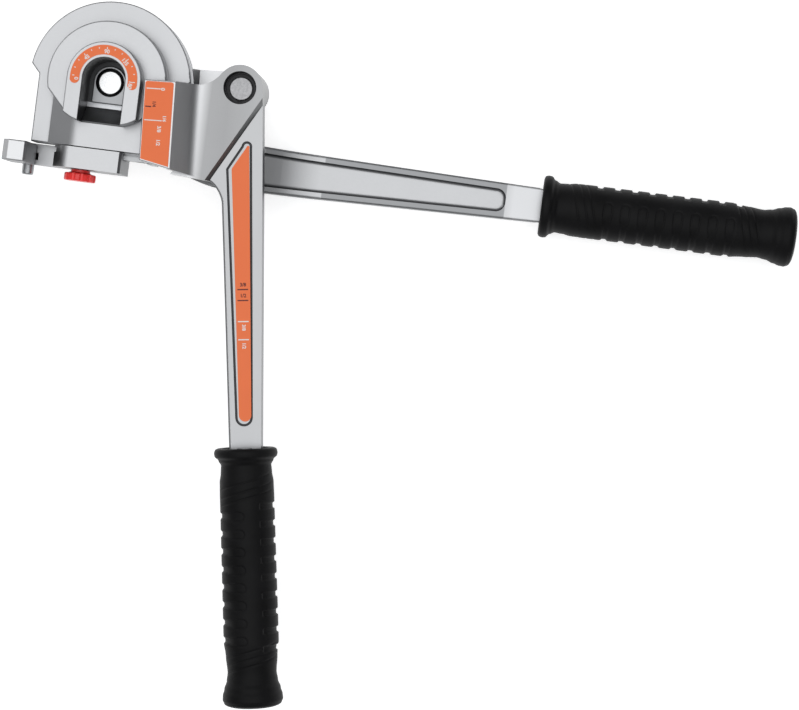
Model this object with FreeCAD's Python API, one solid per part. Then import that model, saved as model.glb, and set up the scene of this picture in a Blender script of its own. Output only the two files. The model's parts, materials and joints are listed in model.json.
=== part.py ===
import FreeCAD, Part
import math
import os
from FreeCAD import Placement, Rotation, Vector

# Manual tube bender for three tube sizes. Millimetres.
# The origin is on the pivot axis of the bend, at the former's flat back face.
# +Z is the pivot axis, towards the front; +X runs along the fixed handle to its grip.

# ---- tubes: bend radius, groove radius and height of the groove's centre ----
HALF = (50.8, 6.45, 11.5)
THREE_EIGHTHS = (38.1, 4.85, 26.0)
QUARTER = (23.8, 3.25, 37.5)

# ---- former ----
FLANGE_R = 50.0
FLANGE_FACE = 20.0
FLANGE_SIDE = 44.3
FLANGE_END_Y = 6.2
DISC_R = 36.6
DISC_FACE = 33.2
LAND_R = 22.7
LAND_FACE = 44.0
BODY_SIDE = 33.2
BODY_FACE = 29.0
BODY_BOTTOM = -41.6
BODY_ROUND = 5.0
SHOULDER_X = -14.0
SHOULDER_R = 14.0
SHOULDER_SLOPE = 22.0
WELL_R = 13.0
WELL_FLOOR = 16.5
PAD_HALF = 10.0
PAD_FACE = 19.0
PAD_BOTTOM = -13.0
WELL_RAMP_Y = (-16.0, -25.8)

# ---- centre pivot ----
PIVOT_R = 6.0
PIVOT_HEAD_R = 7.2
PIVOT_SINK_R = 8.9
PIVOT_SINK_FLOOR = 12.0
RUNNING_FIT = 0.05
PIVOT_BUSH_R = 8.0
PIVOT_RING_Z = (-13.2, -12.2)

# ---- link between the centre pivot and the forming handle's pivot ----
BOSS = (81.7, 5.8)
BOSS_ANGLE = math.degrees(math.atan2(BOSS[1], BOSS[0]))
LINK_LENGTH = math.hypot(BOSS[0], BOSS[1])
LINK_HALF_WIDTH = 13.1
LINK_EYE_R = 14.0
LINK_Z = (-11.0, -0.4)
LINK_LOW_FACE = -5.2
LINK_RAMP = (47.6, 52.2)

# ---- forming handle, in its own frame: origin on the boss, handle along -Y ----
HANDLE_ANGLE = 8.3
BAR_Z = (17.0, 30.0)
PLATE_Z = (22.0, 33.0)
SEAM_TOP = (13.6, -10.8)
SEAM_LOW = (-20.1, -56.4)
SEAM_BEVEL = 2.4
BAR_RIM = 1.5
HANDLE_END = -226.3
GRIP_START = (-1.3, -220.3)
GRIP_LEAN = 0.64
BOSS_R = 14.0
BOSS_BOTTOM = -4.6
BOSS_SINK_R = 10.1
BOSS_SINK_FLOOR = 22.0
HANDLE_PIN_R = 7.3
HANDLE_PIN_TOP = 26.0
HANDLE_BUSH_R = 9.0
CIRCLIP_Z = (23.2, 24.4)
CIRCLIP_BORE_R = 6.5
LABEL_GROOVE = 1.5
LABEL_GROOVE_DEPTH = 1.3

# ---- bending shoe, in its own frame: origin on the centre pivot, tubes along Y ----
SHOE_ANGLE = 3.2
SHOE_GAP = 1.0
SHOE_FACE = 45.0
SHOE_BLOCK = (24.9, 44.0)
SHOE_TOP = 1.4
SHOE_LOW = (-47.6, -51.8, -55.0)
SHOE_BOTTOM = 0.5
SHOE_SIDE = 60.0
SHOE_CLEAR = 1.0
SHOE_FILLET = 9.0

# ---- fixed handle ----
FIXED_Y = -40.3
ROOT_THICK = 13.0
BAR_TOP = -10.0
BAR_THICK = 12.0
JOGGLE_X = (92.0, 136.0)
JOGGLE_SLOPE = 20.5
JOGGLE_R = 20.0
FIXED_END = 279.4
BEFORE_ROOT = -40.0
PAST_GRIP = 400.0
FIXED_GRIP_X = 273.4
TAPER_X = (92.0, 270.0)
TAPER_HALF = (14.6, 10.85)
OUTER_RIM = 1.6
RIM = 4.0
WEB_COVE = 2.6
WEB_SINK = 3.6
WEB_CORNER = 6.0
TANG_R = 8.0
TANG_DEPTH = 140.0

# ---- grips ----
GRIP_LENGTH = 159.0
GRIP_MOUTH_R = 13.4
GRIP_MOUTH_DEPTH = 9.0
GRIP_OUTLINE = [(0, 18.4), (1.4, 19.6), (4.6, 19.6), (7.3, 17.0), (10.5, 15.5), (15, 15.9), (21, 16.6),
                (122, 17.0), (131, 15.7), (139, 15.1), (145, 16.0), (151, 18.3), (155, 18.7),
                (158, 17.2), (159, 14.8)]

# ---- hook: carriage on a rail under the former, with a jaw hinged on it ----
RAIL_X = (-27.0, 34.0)
RAIL_NECK_Z = (9.0, 17.0)
RAIL_HEAD_Z = (6.0, 20.0)
RAIL_Y = (-41.6, -43.6, -46.2)
RAIL_PLAY = 0.25
CARRIAGE_Y = (-42.3, -55.3)
CARRIAGE_X = (-29.3, 14.2)
CARRIAGE_Z = (-6.0, 29.0)
CHANNEL_FLOOR = 4.5
JAW_PIVOT_X = -47.7
JAW_PIN_R = 3.7
KNUCKLE_R = 6.0
EAR_Y = (-47.8, -52.4)
JAW_X = (-57.2, -42.6)
JAW_Y = (-43.1, -55.8)
JAW_TOP = 42.0
JAW_SEAT = 6.6
PIN_END_Y = -62.0
SCREW_X = -12.3
SCREW_Z = 13.0
SCREW_R = 3.0
SCREW_TIP_Y = -49.8
PAD_R = 3.9
KNOB_Y = (-55.6, -57.8, -62.6)
KNOB_NECK_R = 6.0
KNOB_R = 9.8
KNOB_LOBES = 12

LABEL_THICK = 0.3


# ---------------------------------------------------------------- geometry helpers
def outline(start, steps):
    """A closed wire at z 0: a step is the next point, or (middle, end) for an arc."""
    edges = []
    here = Vector(start[0], start[1], 0)
    for step in list(steps) + [start]:
        is_arc = isinstance(step[0], tuple)
        target = step[1] if is_arc else step
        there = Vector(target[0], target[1], 0)
        if is_arc:
            middle = Vector(step[0][0], step[0][1], 0)
            edges.append(Part.Arc(here, middle, there).toShape())
        elif here.distanceToPoint(there) > 1e-6:
            edges.append(Part.LineSegment(here, there).toShape())
        here = there
    return Part.Wire(edges)


def prism(wire, low, high):
    face = Part.Face(wire)
    face.translate(Vector(0, 0, low))
    return face.extrude(Vector(0, 0, high - low))


def side_prism(points, low_y, high_y):
    """An outline of (x, z) points, carried along Y from low_y to high_y."""
    solid = prism(outline(points[0], points[1:]), low_y, high_y)
    solid.rotate(Vector(0, 0, 0), Vector(1, 0, 0), 90)
    return solid.mirror(Vector(0, 0, 0), Vector(0, 1, 0))


def box(x_span, y_span, z_span):
    size = [max(span) - min(span) for span in (x_span, y_span, z_span)]
    corner = Vector(min(x_span), min(y_span), min(z_span))
    return Part.makeBox(size[0], size[1], size[2], corner)


def upright(radius, low, high, x=0.0, y=0.0):
    return Part.makeCylinder(radius, high - low, Vector(x, y, low))


def across(radius, from_y, to_y, x, z):
    """A cylinder along Y."""
    base = Vector(x, min(from_y, to_y), z)
    return Part.makeCylinder(radius, abs(to_y - from_y), base, Vector(0, 1, 0))


def soften(shape, radius, wanted):
    """Round the edges that wanted(edge) picks."""
    chosen = [edge for edge in shape.Edges if wanted(edge)]
    return shape.makeFillet(radius, chosen) if chosen else shape


def at_level(level):
    def test(edge):
        bounds = edge.BoundBox
        return abs(bounds.ZMin - level) < 1e-4 and abs(bounds.ZMax - level) < 1e-4
    return test


def joined(shapes):
    result = shapes[0].fuse(list(shapes[1:])) if len(shapes) > 1 else shapes[0]
    return result.removeSplitter()


def placed(shape, placement):
    copy = shape.copy()
    copy.Placement = placement.multiply(copy.Placement)
    return copy


def handle_frame():
    return Placement(Vector(BOSS[0], BOSS[1], 0), Rotation(Vector(0, 0, 1), HANDLE_ANGLE))


def shoe_frame():
    return Placement(Vector(0, 0, 0), Rotation(Vector(0, 0, 1), SHOE_ANGLE))


def polar(radius, degrees):
    angle = math.radians(degrees)
    return (radius * math.cos(angle), radius * math.sin(angle))


def ring(outer, inner, low, high, x=0.0, y=0.0):
    return upright(outer, low, high, x, y).cut(upright(inner, low - 1, high + 1, x, y))


# ---------------------------------------------------------------- former and frame
def former_groove(bend, leg_end):
    """The half ring of tube round the former, with straight legs down to leg_end."""
    bend_r, groove_r, level = bend
    circle = Part.Wire(Part.makeCircle(groove_r, Vector(bend_r, 0, level), Vector(0, 1, 0)))
    pieces = [Part.Face(circle).revolve(Vector(0, 0, 0), Vector(0, 0, 1), 180)]
    if leg_end < 0:
        for side in (-1, 1):
            pieces.append(across(groove_r, leg_end, 0, side * bend_r, level))
    return pieces


def flange_outline():
    start_angle = math.degrees(math.asin(FLANGE_END_Y / FLANGE_R))
    right = polar(FLANGE_R, start_angle)
    left = (-right[0], right[1])
    return outline((FLANGE_SIDE, BODY_BOTTOM), [
        (FLANGE_SIDE, 0.3), right, ((0, FLANGE_R), left), (-FLANGE_SIDE, 0.3),
        (-FLANGE_SIDE, BODY_BOTTOM)])


def disc_outline():
    right = polar(DISC_R, -13.6)
    left = (-right[0], right[1])
    return outline((23.3, -21.9), [
        right, ((0, DISC_R), left), (-23.3, -21.9), ((-18.6, -24.9), (-12.8, -26.9)),
        ((0, -28.9), (12.8, -26.9)), ((18.6, -24.9), (23.3, -21.9))])


def land_outline():
    return outline((LAND_R, 0), [
        ((0, LAND_R), (-LAND_R, 0)), (-LAND_R, -22.3), ((-18.4, -24.9), (-WELL_R, -26.7)),
        (-WELL_R, 0), ((0, WELL_R), (WELL_R, 0)), (WELL_R, -26.7), ((18.4, -24.9), (LAND_R, -22.3))])


def arch_outline(half_width, bottom):
    return outline((half_width, 0), [
        ((0, half_width), (-half_width, 0)), (-half_width, bottom), (half_width, bottom)])


def well_cut():
    low, high = WELL_RAMP_Y
    ramp = outline((30, WELL_FLOOR), [
        (low, WELL_FLOOR), (high, BODY_FACE), (high - 10, BODY_FACE), (high - 10, 60), (30, 60)])
    side = Part.Face(ramp).extrude(Vector(0, 0, 60))
    side.translate(Vector(0, 0, -30))
    side.rotate(Vector(0, 0, 0), Vector(1, 1, 1), 120)
    slot = prism(arch_outline(WELL_R, high - 8), WELL_FLOOR, 60)
    return slot.common(side)


def body_profile():
    """Section of the former's lower body: a broad sloping shoulder on the hook's side."""
    slope = math.radians(SHOULDER_SLOPE)
    centre_z = BODY_FACE - SHOULDER_R
    arc_end = (SHOULDER_X - SHOULDER_R * math.sin(slope), centre_z + SHOULDER_R * math.cos(slope))
    arc_mid = (SHOULDER_X - SHOULDER_R * math.sin(slope / 2), centre_z + SHOULDER_R * math.cos(slope / 2))
    side_top = arc_end[1] - (arc_end[0] + BODY_SIDE) * math.tan(slope)
    near = BODY_ROUND * (1 - math.sqrt(0.5))
    return [(-BODY_SIDE, 0), (-BODY_SIDE, side_top), arc_end, (arc_mid, (SHOULDER_X, BODY_FACE)),
            (BODY_SIDE - BODY_ROUND, BODY_FACE),
            ((BODY_SIDE - near, BODY_FACE - near), (BODY_SIDE, BODY_FACE - BODY_ROUND)), (BODY_SIDE, 0)]


def former_casting():
    flange = prism(flange_outline(), 0, FLANGE_FACE)
    flange = soften(flange, 0.9, at_level(FLANGE_FACE))
    block = side_prism(body_profile(), BODY_BOTTOM, -5)
    disc = prism(disc_outline(), FLANGE_FACE - 2, DISC_FACE)
    disc = soften(disc, 0.9, at_level(DISC_FACE))
    land = prism(land_outline(), DISC_FACE - 2, LAND_FACE)
    land = soften(land, 0.7, at_level(LAND_FACE))
    shape = joined([flange, block, disc, land])
    cuts = former_groove(HALF, 0) + former_groove(THREE_EIGHTHS, BODY_BOTTOM - 2)
    cuts += former_groove(QUARTER, -32)
    shape = shape.cut(cuts)
    shape = shape.cut(well_cut())
    pad = prism(arch_outline(PAD_HALF, PAD_BOTTOM), WELL_FLOOR - 1, PAD_FACE)
    shape = joined([shape, soften(pad, 0.5, at_level(PAD_FACE))])
    shape = shape.cut(upright(PIVOT_SINK_R, PIVOT_SINK_FLOOR, PAD_FACE + 1))
    shape = shape.cut(upright(PIVOT_R, -1, PIVOT_SINK_FLOOR + 1))
    for bolt in bolt_solids():
        shape = shape.cut(bolt)
    for screw in rail_screw_solids():
        shape = shape.cut(screw)
    return shape


def layer(low, high):
    """The former's casting between two heights."""
    return former_casting().common(box((-100, 100), (-100, 100), (low, high)))


def former():
    return layer(-10, FLANGE_FACE)


def former_step():
    return layer(FLANGE_FACE, DISC_FACE)


def former_land():
    return layer(DISC_FACE, LAND_FACE + 10)


def degree_label():
    middle = 17.7
    half = 2.9
    tail = 4.7
    shape = outline((middle + half, 0), [
        ((0, middle + half), (-middle - half, 0)), (-middle - half, half - tail),
        ((-middle, -tail), (-middle + half, half - tail)), (-middle + half, 0),
        ((0, middle - half), (middle - half, 0)), (middle - half, half - tail),
        ((middle, -tail), (middle + half, half - tail))])
    return prism(shape, LAND_FACE, LAND_FACE + LABEL_THICK)


def pivot_pin():
    head = upright(PIVOT_HEAD_R, PIVOT_SINK_FLOOR, PAD_FACE)
    head = soften(head, 0.6, at_level(PAD_FACE))
    shank = upright(PIVOT_R, -14.4, PIVOT_SINK_FLOOR + 1)
    return joined([head, shank]).cut(ring(PIVOT_R + 1, 5.2, PIVOT_RING_Z[0], PIVOT_RING_Z[1]))


def pivot_washer():
    return ring(11.0, PIVOT_R + RUNNING_FIT, PIVOT_RING_Z[1] + 0.1, LINK_Z[0] - 0.1)


def snap_ring(outer, inner, low, high, x, y):
    """A split retaining ring with two eyes beside its gap."""
    shape = ring(outer, inner, low, high, x, y)
    ears = [upright(1.3, low, high, x + side * 2.6, y - outer + 0.9) for side in (-1, 1)]
    gap = box((x - 1.3, x + 1.3), (y - outer - 3, y), (low - 1, high + 1))
    return joined([shape] + ears).cut(gap)


def pivot_ring():
    return snap_ring(9.0, 5.2, PIVOT_RING_Z[0], PIVOT_RING_Z[1], 0, 0)


# ---------------------------------------------------------------- fixed handle
def joggle(high, low):
    """Steps a side outline down from high to low: a tight arc, a slope and a wide arc."""
    angle = math.radians(JOGGLE_SLOPE)
    sine, cosine = math.sin(angle), math.cos(angle)
    run = low[0] - high[0] - JOGGLE_R * sine
    drop = high[1] - low[1] - JOGGLE_R * (1 - cosine)
    wide_r = (cosine * drop - sine * run) / (cosine - 1)
    half_sine, half_rise = math.sin(angle / 2), 1 - math.cos(angle / 2)
    first = (high[0] + JOGGLE_R * sine, high[1] - JOGGLE_R * (1 - cosine))
    second = (low[0] - wide_r * sine, low[1] + wide_r * (1 - cosine))
    tight_mid = (high[0] + JOGGLE_R * half_sine, high[1] - JOGGLE_R * half_rise)
    wide_mid = (low[0] - wide_r * half_sine, low[1] + wide_r * half_rise)
    return first, second, tight_mid, wide_mid


def down_joggle(high, low):
    first, second, tight_mid, wide_mid = joggle(high, low)
    return [(tight_mid, first), second, (wide_mid, low)]


def up_joggle(low, high):
    first, second, tight_mid, wide_mid = joggle(high, low)
    return [(wide_mid, second), first, (tight_mid, high)]


def fixed_body_side():
    """Side outline of the fixed handle: a flat root, then a joggle down to the bar."""
    first, second = JOGGLE_X
    low = BAR_TOP - BAR_THICK
    return ([(BEFORE_ROOT, 0), (first, 0)] + down_joggle((first, 0), (second, BAR_TOP))
            + [(FIXED_END, BAR_TOP), (FIXED_END, low), (second, low)]
            + up_joggle((second, low), (first, -ROOT_THICK)) + [(BEFORE_ROOT, -ROOT_THICK)])


def front_web_side():
    first, second = JOGGLE_X
    floor = BAR_TOP - WEB_SINK
    return ([(BEFORE_ROOT, -WEB_SINK), (first, -WEB_SINK)] + down_joggle((first, -WEB_SINK), (second, floor))
            + [(PAST_GRIP, floor), (PAST_GRIP, 60), (BEFORE_ROOT, 60)])


def back_web_side():
    first, second = JOGGLE_X
    ceiling = BAR_TOP - BAR_THICK + WEB_SINK
    root = -ROOT_THICK + WEB_SINK
    return ([(BEFORE_ROOT, -60), (PAST_GRIP, -60), (PAST_GRIP, ceiling), (second, ceiling)]
            + up_joggle((second, ceiling), (first, root)) + [(BEFORE_ROOT, root)])


def half_height(x):
    share = (x - TAPER_X[0]) / (TAPER_X[1] - TAPER_X[0])
    return TAPER_HALF[0] + share * (TAPER_HALF[1] - TAPER_HALF[0])


def fixed_plan():
    start, end = TAPER_X
    return outline((-24, -41.4), [
        (28.5, -41.4), ((36, -42.9), (43, -46.4)), ((58, -52.6), (72, FIXED_Y - half_height(72))),
        (end, FIXED_Y - half_height(end)), (FIXED_END, FIXED_Y - 9.4), (FIXED_END, FIXED_Y + 9.4),
        (end, FIXED_Y + half_height(end)), (start, FIXED_Y + half_height(start)),
        ((76, -21.4), (58, -18.6)), (-24, -18.6), ((-28.2, -20.4), (-30, -24.6)), (-30, -35.4),
        ((-28.2, -39.6), (-24, -41.4))])


def web_plan():
    """The sunk web between the rims, with a rounded end by the grip."""
    start = 64.0
    end = 251.0
    inner_start = half_height(start) - RIM
    low = FIXED_Y - half_height(end) + RIM
    high = FIXED_Y + half_height(end) - RIM
    near = WEB_CORNER * (1 - math.sqrt(0.5))
    return outline((start, FIXED_Y - inner_start), [
        (end - WEB_CORNER, low), ((end - near, low + near), (end, low + WEB_CORNER)),
        (end, high - WEB_CORNER), ((end - near, high - near), (end - WEB_CORNER, high)),
        (start, FIXED_Y + inner_start)])


def fixed_casting():
    plan = prism(fixed_plan(), -60, 60)
    body = side_prism(fixed_body_side(), -80, 0).common(plan)
    rims = [edge for edge in body.Edges if is_long_rim(edge)]
    body = body.makeFillet(OUTER_RIM, rims)
    web = prism(web_plan(), -60, 60)
    front = side_prism(front_web_side(), -80, 0).common(web)
    front = front.makeFillet(WEB_COVE, [edge for edge in front.Edges if is_web_floor(edge)])
    back = side_prism(back_web_side(), -80, 0).common(web)
    body = body.cut([front, back])
    axis_z = BAR_TOP - BAR_THICK / 2
    tang = Part.makeCylinder(TANG_R, TANG_DEPTH, Vector(FIXED_GRIP_X, FIXED_Y, axis_z), Vector(1, 0, 0))
    body = joined([body, tang])
    for bolt in bolt_solids():
        body = body.cut(bolt)
    return body


def fixed_handle():
    """The fixed handle's root, rims, tip and tang."""
    return fixed_casting().cut(prism(web_plan(), -60, 60))


def handle_web():
    """The fixed handle's thin web between its rims."""
    return fixed_casting().common(prism(web_plan(), -60, 60))


def is_long_rim(edge):
    bounds = edge.BoundBox
    return bounds.XMin > 71 and bounds.XLength > 3 and bounds.YLength > 0.05 and bounds.XMax < FIXED_END - 1


def is_web_floor(edge):
    """The long lower edges of the front web's cutter."""
    bounds = edge.BoundBox
    return bounds.ZMax < -WEB_SINK + 0.01 and bounds.XLength > 3 and bounds.YMax - bounds.YMin > 0.01


def bolt_solids():
    spots = [(-19.0, -31.0), (6.0, -31.0), (31.0, -31.0)]
    bolts = []
    for x, y in spots:
        head = upright(6.5, -ROOT_THICK, -ROOT_THICK + 8, x, y)
        shank = upright(4.0, -ROOT_THICK + 7, 12, x, y)
        bolts.append(joined([head, shank]))
    return bolts


def hex_socket(x, y, low, high, across_flats):
    corner = across_flats / math.sqrt(3)
    points = [(x + corner * math.cos(math.radians(60 * k)), y + corner * math.sin(math.radians(60 * k)))
              for k in range(6)]
    return prism(outline(points[0], points[1:]), low, high)


def handle_bolts():
    bolts = []
    for bolt in bolt_solids():
        centre = bolt.BoundBox.Center
        socket = hex_socket(centre.x, centre.y, -ROOT_THICK - 1, -ROOT_THICK + 4, 6.0)
        bolts.append(bolt.cut(socket))
    return Part.makeCompound(bolts)


def grip_solid():
    """A rubber grip along +X from its flange, open at the mouth for the handle's end."""
    first_s, first_r = GRIP_OUTLINE[0]
    steps = list(GRIP_OUTLINE[1:])
    steps += [(GRIP_LENGTH, 0), (TANG_DEPTH, 0), (TANG_DEPTH, TANG_R), (GRIP_MOUTH_DEPTH, TANG_R),
              (GRIP_MOUTH_DEPTH, GRIP_MOUTH_R), (0, GRIP_MOUTH_R)]
    face = Part.Face(outline((first_s, first_r), steps))
    return face.revolve(Vector(0, 0, 0), Vector(1, 0, 0), 360)


def fixed_grip():
    spot = Vector(FIXED_GRIP_X, FIXED_Y, BAR_TOP - BAR_THICK / 2)
    return placed(grip_solid(), Placement(spot, Rotation()))


# ---------------------------------------------------------------- link
def link_arm():
    low, high = LINK_Z
    bar = box((0, LINK_LENGTH), (-LINK_HALF_WIDTH, LINK_HALF_WIDTH), LINK_Z)
    plan = joined([bar, upright(LINK_EYE_R, low, high), upright(LINK_EYE_R, low, high, LINK_LENGTH)])
    inner, outer = LINK_RAMP
    step = side_prism([(inner, high), (outer, LINK_LOW_FACE), (120, LINK_LOW_FACE), (120, 5), (inner, 5)],
                      -20, 20)
    shape = soften(plan.cut(step), 1.2, at_level(low))
    shape = placed(shape, Placement(Vector(0, 0, 0), Rotation(Vector(0, 0, 1), BOSS_ANGLE)))
    shape = shape.cut(upright(PIVOT_BUSH_R, -20, 5))
    return shape.cut(handle_pin_blank())


def pivot_bush():
    return ring(PIVOT_BUSH_R, PIVOT_R + RUNNING_FIT, LINK_Z[0], LINK_Z[1])


def handle_pin_blank():
    x, y = BOSS
    head = upright(9.5, LINK_Z[0] - 2.4, LINK_Z[0] + 1.6, x, y)
    head = soften(head, 0.8, at_level(LINK_Z[0] - 2.4))
    return joined([head, upright(HANDLE_PIN_R, LINK_Z[0], HANDLE_PIN_TOP, x, y)])


def handle_pin():
    x, y = BOSS
    pin = soften(handle_pin_blank(), 0.8, at_level(HANDLE_PIN_TOP))
    return pin.cut(ring(HANDLE_PIN_R + 1, CIRCLIP_BORE_R, CIRCLIP_Z[0], CIRCLIP_Z[1], x, y))


def handle_washer():
    low = BOSS_SINK_FLOOR + 0.15
    return ring(9.8, HANDLE_PIN_R + RUNNING_FIT, low, CIRCLIP_Z[0] - 0.1, BOSS[0], BOSS[1])


def handle_circlip():
    return snap_ring(8.9, CIRCLIP_BORE_R, CIRCLIP_Z[0], CIRCLIP_Z[1], BOSS[0], BOSS[1])


# ---------------------------------------------------------------- forming handle
def bar_outline():
    return outline(SEAM_TOP, [
        (8.7, HANDLE_END), (-10.9, HANDLE_END), (-12.8, -69.5), ((-15.8, -61.3), SEAM_LOW)])


def pocket_outline(margin):
    """The shape of the label's surround, pointed at the top and rounded at the bottom."""
    shape = outline((0.2, -35.3), [
        ((4.0, -32.6), (6.6, -36.6)), (4.1, -201.5), ((-1.3, -206.9), (-6.7, -201.5)), (-9.6, -50.4),
        ((-9.5, -49.2), (-9.0, -48.2))])
    return shape.makeOffset2D(-margin) if margin else shape


def seam_direction():
    run = Vector(SEAM_TOP[0] - SEAM_LOW[0], SEAM_TOP[1] - SEAM_LOW[1], 0)
    run.normalize()
    return run, Vector(-run.y, run.x, 0)


def seam_point(along, over):
    run, normal = seam_direction()
    spot = Vector(SEAM_LOW[0], SEAM_LOW[1], 0) + run * along + normal * over
    return (spot.x, spot.y)


def tongue_wire():
    return outline(seam_point(9, -1), [seam_point(37, -1), seam_point(37, 9.5), seam_point(9, 9.5)])


def screw_spots():
    return [seam_point(16, 4.5), seam_point(30, 4.5)]


def shoe_screw_solids():
    screws = []
    for x, y in screw_spots():
        head = upright(4.0, BAR_Z[0], BAR_Z[0] + 2.6, x, y)
        screws.append(joined([head, upright(2.5, BAR_Z[0] + 1, 30.0, x, y)]))
    return screws


def forming_handle():
    bar = prism(bar_outline(), BAR_Z[0], BAR_Z[1])
    bar = soften(bar, BAR_RIM, is_bar_rim)
    groove_floor = BAR_Z[1] - LABEL_GROOVE_DEPTH
    groove = prism(pocket_outline(0), groove_floor, 60)
    groove = groove.cut(prism(pocket_outline(LABEL_GROOVE), groove_floor, 60))
    back = prism(pocket_outline(-0.5), -10, BAR_Z[0] + 4.0)
    bar = bar.cut([groove, back])
    tongue = prism(tongue_wire(), BAR_Z[0], PLATE_Z[0])
    axis_z = (BAR_Z[0] + BAR_Z[1]) / 2
    start = Vector(GRIP_START[0], GRIP_START[1], axis_z)
    lean = math.radians(GRIP_LEAN)
    tang = Part.makeCylinder(TANG_R, TANG_DEPTH, start, Vector(math.sin(lean), -math.cos(lean), 0))
    shape = joined([bar, tongue, tang])
    for screw in shoe_screw_solids():
        shape = shape.cut(screw)
    return placed(shape, handle_frame())


def is_bar_rim(edge):
    bounds = edge.BoundBox
    flat = at_level(BAR_Z[0])(edge) or at_level(BAR_Z[1])(edge)
    return flat and bounds.YLength > 8 and bounds.YMax < -50


def forming_grip():
    axis_z = (BAR_Z[0] + BAR_Z[1]) / 2
    start = Vector(GRIP_START[0], GRIP_START[1], axis_z)
    turn = Placement(start, Rotation(Vector(0, 0, 1), GRIP_LEAN - 90))
    return placed(placed(grip_solid(), turn), handle_frame())


def handle_label():
    shape = outline((3.2, -36.3), [
        ((4.3, -35.4), (4.8, -36.9)), (3.2, -200.1), ((-0.6, -203.9), (-4.4, -200.1)), (-6.2, -49.9),
        ((-6.1, -49.2), (-5.8, -48.6))])
    return placed(prism(shape, BAR_Z[1], BAR_Z[1] + LABEL_THICK), handle_frame())


def plate_outline():
    return outline((0, BOSS_R), [
        ((9.9, 9.9), (BOSS_R, 0)), SEAM_TOP, SEAM_LOW, (-37, -53.0), (-44, -51.6), (-30, -40), (-30, 2.2),
        (-24, 2.2), ((-16.9, 4.3), (-10.6, 9.4))])


def shoe_profile():
    """Section of the shoe: a step for each tube, and a slope from the block down to the plate."""
    face_q, right = SHOE_BLOCK
    face_t = THREE_EIGHTHS[0] + SHOE_GAP
    face_h = HALF[0] + SHOE_GAP
    low_q = DISC_FACE + SHOE_CLEAR
    low_t = FLANGE_FACE + SHOE_CLEAR
    plate_top = PLATE_Z[1]
    run = SHOE_SIDE - right
    drop = SHOE_FACE - plate_top - SHOE_FILLET
    slope = math.asin(SHOE_FILLET / math.hypot(run, drop)) + math.atan2(drop, run)
    foot = polar(SHOE_FILLET, -90 - math.degrees(slope))
    mid = polar(SHOE_FILLET, -90 - math.degrees(slope) / 2)
    centre_z = plate_top + SHOE_FILLET
    return [(face_q, low_q), (face_q, SHOE_FACE), (right, SHOE_FACE),
            (SHOE_SIDE + foot[0], centre_z + foot[1]),
            ((SHOE_SIDE + mid[0], centre_z + mid[1]), (SHOE_SIDE, plate_top)),
            (SHOE_SIDE, SHOE_BOTTOM), (face_h, SHOE_BOTTOM), (face_h, low_t), (face_t, low_t),
            (face_t, low_q)]


def shoe_plan():
    left, right = SHOE_BLOCK
    low_left, low_right, low_side = SHOE_LOW
    return outline((left, low_left), [
        (right - 1, low_right), (SHOE_SIDE, low_side), (SHOE_SIDE, SHOE_TOP), (left, SHOE_TOP)])


def shoe_casting():
    """Block, plate, rib and boss in one, with a straight half-round groove for each tube."""
    block = side_prism(shoe_profile(), -70, 10).common(prism(shoe_plan(), -10, 60))
    block = placed(soften(block, 0.8, is_block_rim), shoe_frame())
    plate = prism(plate_outline(), PLATE_Z[0], PLATE_Z[1])
    rib = prism(outline((-30, -3.5), [(-8, -3.5), (-8, 2.6), (-30, 2.6)]), 3.0, PLATE_Z[0])
    boss = upright(BOSS_R, BOSS_BOTTOM, PLATE_Z[1])
    arm = joined([plate, rib, boss]).cut(seam_bevel())
    shape = joined([block, placed(arm, handle_frame())])
    tongue = prism(tongue_wire(), BAR_Z[0] - 30, PLATE_Z[0])
    cuts = [tongue, upright(BOSS_SINK_R, BOSS_SINK_FLOOR, 60), upright(HANDLE_BUSH_R, -20, 60)]
    cuts += shoe_screw_solids()
    shape = shape.cut([placed(cut, handle_frame()) for cut in cuts])
    grooves = []
    for bend_r, groove_r, level in (QUARTER, THREE_EIGHTHS, HALF):
        grooves.append(across(groove_r, -80, 20, bend_r, level))
    return shape.cut([placed(groove, shoe_frame()) for groove in grooves])


def past_block(low, high):
    """The space beyond the block's outer side, between two heights."""
    return placed(box((SHOE_SIDE, 200), (-200, 200), (low, high)), shoe_frame())


def bending_shoe():
    return shoe_casting().cut(past_block(-100, 100))


def shoe_arm():
    """The casting's plate, from the block round the boss's recess to the seam."""
    return shoe_casting().common(past_block(PLATE_Z[0], 100))


def shoe_boss():
    """The casting's boss and rib behind the plate."""
    return shoe_casting().common(past_block(-100, PLATE_Z[0]))


def seam_bevel():
    """Cuts the plate's edge along the seam to a slope, down to the bar's face."""
    high = PLATE_Z[1] + 3
    wedge = outline((0, BAR_Z[1]), [(SEAM_BEVEL, PLATE_Z[1]), (SEAM_BEVEL, high), (0, high)])
    solid = Part.Face(wedge).extrude(Vector(0, 0, 90))
    solid.translate(Vector(0, 0, -10))
    solid.rotate(Vector(0, 0, 0), Vector(1, 0, 0), 90)
    normal = seam_direction()[1]
    angle = math.degrees(math.atan2(normal.y, normal.x))
    return placed(solid, Placement(Vector(SEAM_LOW[0], SEAM_LOW[1], 0), Rotation(Vector(0, 0, 1), angle)))


def is_block_rim(edge):
    bounds = edge.BoundBox
    return at_level(SHOE_FACE)(edge) and bounds.XMax < SHOE_BLOCK[1] + 0.1


def handle_bush():
    return ring(HANDLE_BUSH_R, HANDLE_PIN_R + RUNNING_FIT, BOSS_BOTTOM, BOSS_SINK_FLOOR, BOSS[0], BOSS[1])


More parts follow.
